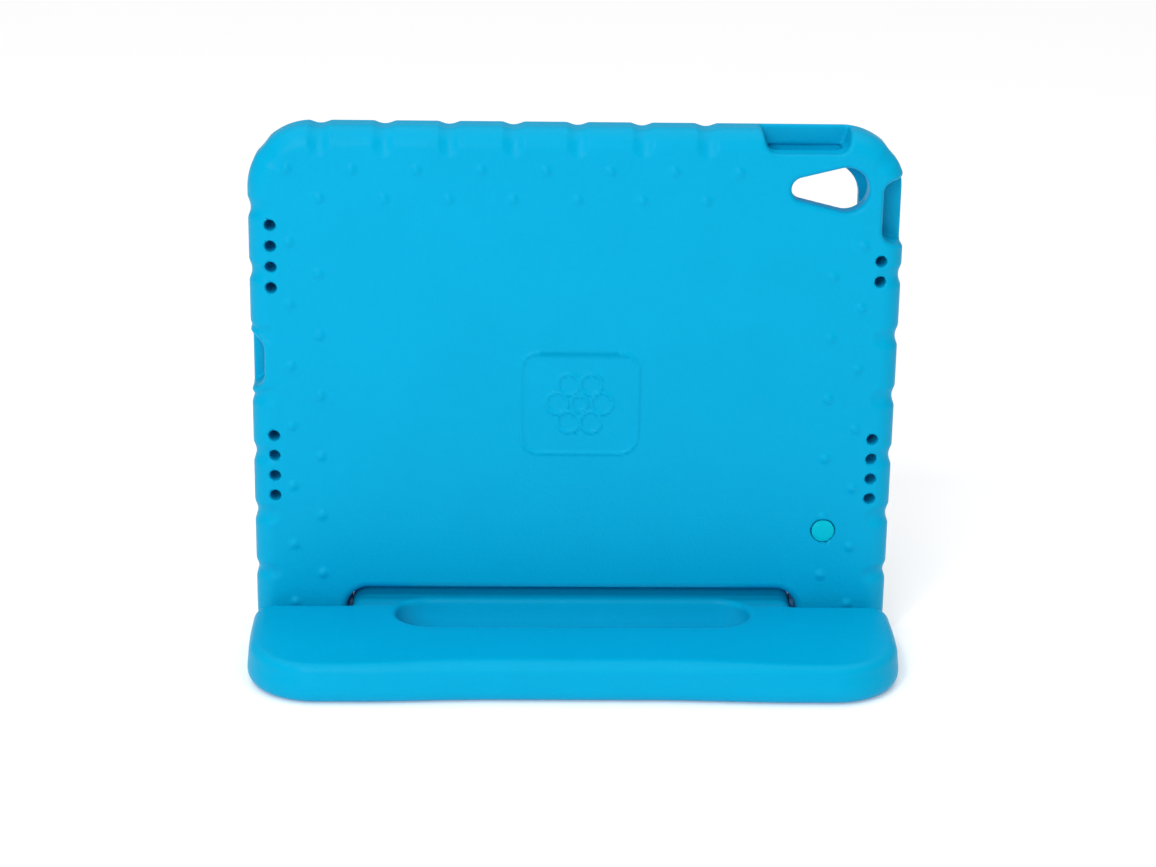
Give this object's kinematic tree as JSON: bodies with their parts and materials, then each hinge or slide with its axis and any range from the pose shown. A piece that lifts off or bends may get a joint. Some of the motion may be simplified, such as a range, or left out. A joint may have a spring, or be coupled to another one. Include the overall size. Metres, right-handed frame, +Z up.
{
  "type": "tablet case with fold-out handle",
  "caption": "Moulded foam tablet case with raised rim, button windows and camera cut-out, on a hinged foam handle that is also its stand.",
  "frame": {"origin": "centre of the footprint's bounding box, on the surface that the case stands on", "axes": "+X to the right seen from behind, +Y towards the screen side, +Z up"},
  "size_m": [0.276, 0.097, 0.2275],
  "materials": {
    "foam": "matte",
    "plug_foam": "satin",
    "steel": "satin",
    "nylon": "satin",
    "cap_plastic": "satin"
  },
  "bodies": {
    "handle": {"handle": "foam", "sleeve_left": "nylon", "sleeve_right": "nylon"},
    "shell": {"shell": "foam", "back_plug": "plug_foam", "hinge_rod": "steel", "bush_left": "nylon", "bush_right": "nylon", "washer_left": "nylon", "washer_right": "nylon", "screw_left": "steel", "screw_right": "steel", "cap_left": "cap_plastic", "cap_right": "cap_plastic"}
  },
  "joints": [
    {"name": "handle_hinge", "type": "hinge", "parent": "handle", "child": "shell", "pos_m": [0, 0.0355, 0.013], "axis": [1, 0, 0], "range_deg": [-90, 22]}
  ]
}
